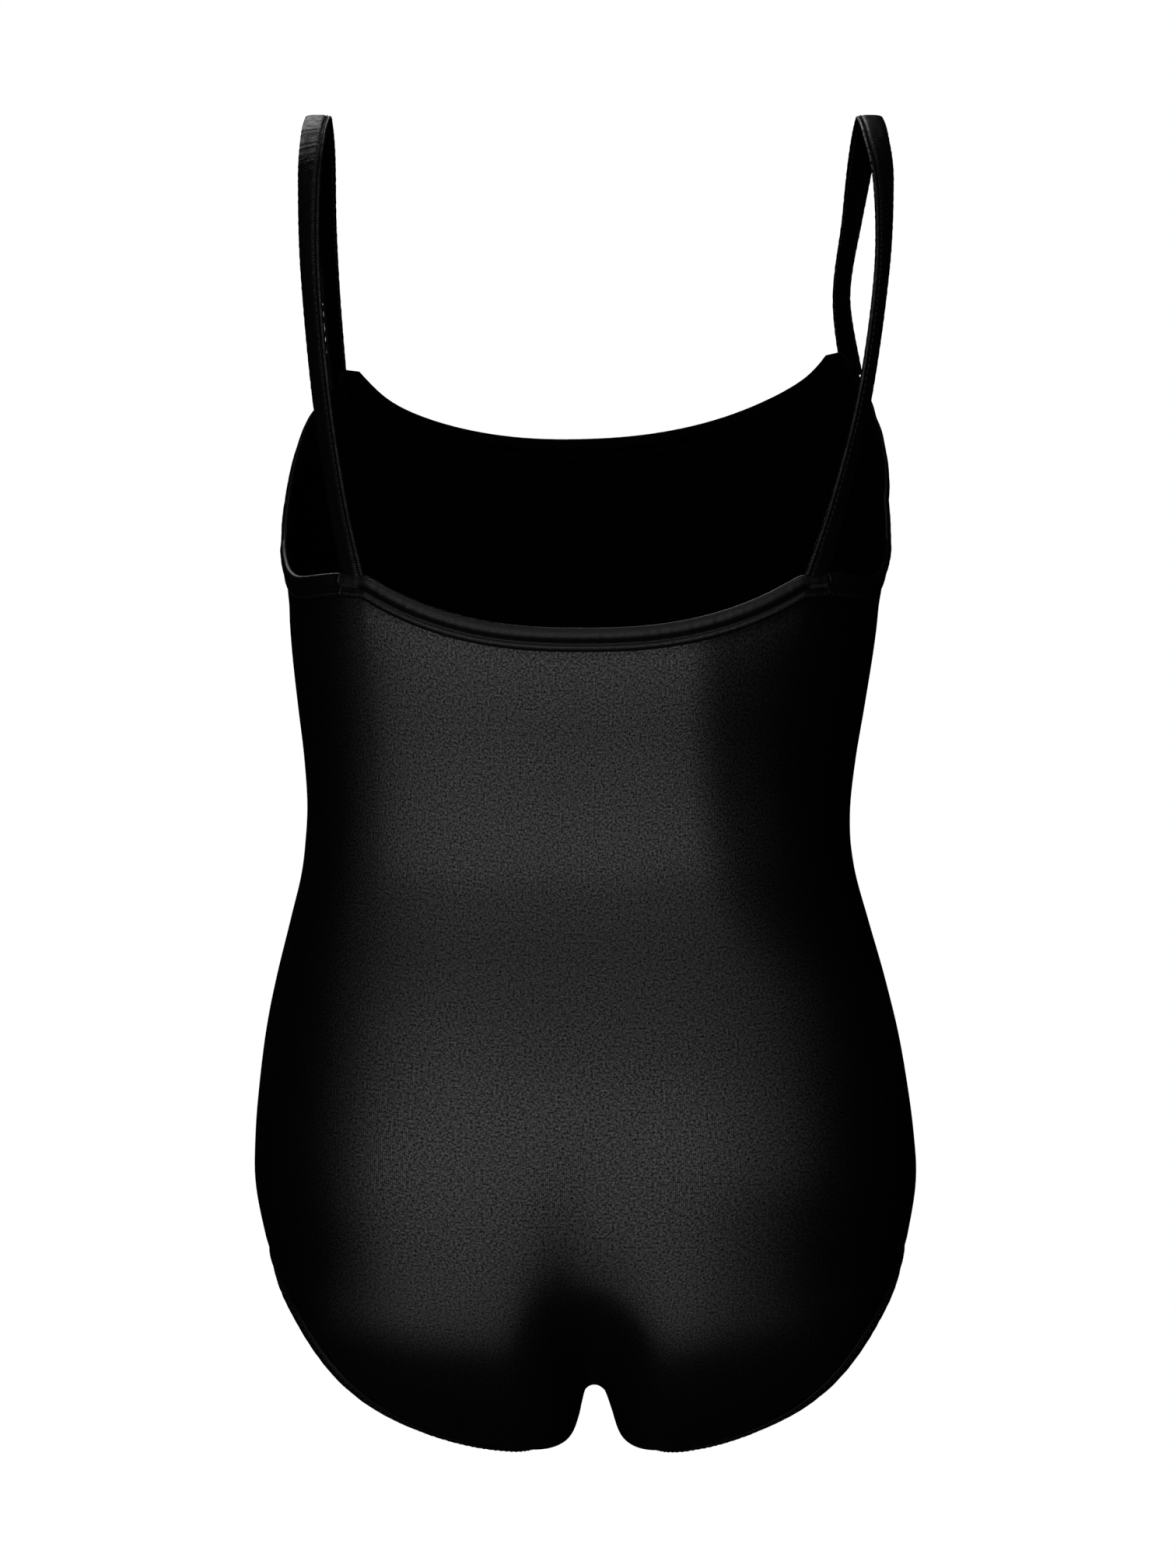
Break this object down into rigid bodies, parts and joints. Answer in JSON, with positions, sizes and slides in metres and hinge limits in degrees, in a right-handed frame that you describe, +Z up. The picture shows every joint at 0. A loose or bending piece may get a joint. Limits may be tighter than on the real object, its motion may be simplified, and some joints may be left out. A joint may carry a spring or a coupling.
{
  "type": "gymnastics leotard",
  "caption": "Child's camisole gymnastics leotard with a scoop back, thin shoulder straps and bound neck, armhole and leg edges, filled out as worn.",
  "frame": {"origin": "middle of the waist, inside the garment", "axes": "+X to the wearer's left, +Y to the wearer's back, +Z up"},
  "size_m": [0.2484, 0.1855, 0.5018],
  "materials": {
    "stretch_cloth": "satin",
    "binding_cloth": "satin",
    "elastic": "matte",
    "thread": "matte",
    "lining_cloth": "matte"
  },
  "bodies": {
    "bodice": {"front_panel": "stretch_cloth", "back_panel": "stretch_cloth", "gusset_lining": "lining_cloth", "crotch_seam": "binding_cloth", "front_neck_binding": "binding_cloth", "front_neck_elastic": "elastic", "front_neck_stitching": "thread", "back_neck_binding": "binding_cloth", "back_neck_elastic": "elastic", "back_neck_stitching": "thread", "left_armhole_binding": "binding_cloth", "left_armhole_elastic": "elastic", "left_armhole_stitching": "thread", "left_leg_binding": "binding_cloth", "left_leg_elastic": "elastic", "left_leg_stitching": "thread", "left_side_seam": "binding_cloth", "left_back_strap_anchor": "binding_cloth", "left_back_bar_tack": "thread", "left_front_strap_anchor": "binding_cloth", "left_front_bar_tack": "thread", "right_armhole_binding": "binding_cloth", "right_armhole_elastic": "elastic", "right_armhole_stitching": "thread", "right_leg_binding": "binding_cloth", "right_leg_elastic": "elastic", "right_leg_stitching": "thread", "right_side_seam": "binding_cloth", "right_back_strap_anchor": "binding_cloth", "right_back_bar_tack": "thread", "right_front_strap_anchor": "binding_cloth", "right_front_bar_tack": "thread"},
    "left_strap": {"left_strap": "binding_cloth", "left_strap_elastic": "elastic", "left_strap_stitching": "thread"},
    "right_strap": {"right_strap": "binding_cloth", "right_strap_elastic": "elastic", "right_strap_stitching": "thread"}
  },
  "joints": [
    {"name": "left_strap_swing", "type": "hinge", "parent": "bodice", "child": "left_strap", "pos_m": [0.08709, 0.06844, 0.10474], "axis": [-0.0734, 0.8307, -0.5519], "range_deg": [-30, 80]},
    {"name": "right_strap_swing", "type": "hinge", "parent": "bodice", "child": "right_strap", "pos_m": [-0.08709, 0.06844, 0.10474], "axis": [-0.0734, -0.8307, 0.5519], "range_deg": [-30, 80]}
  ]
}
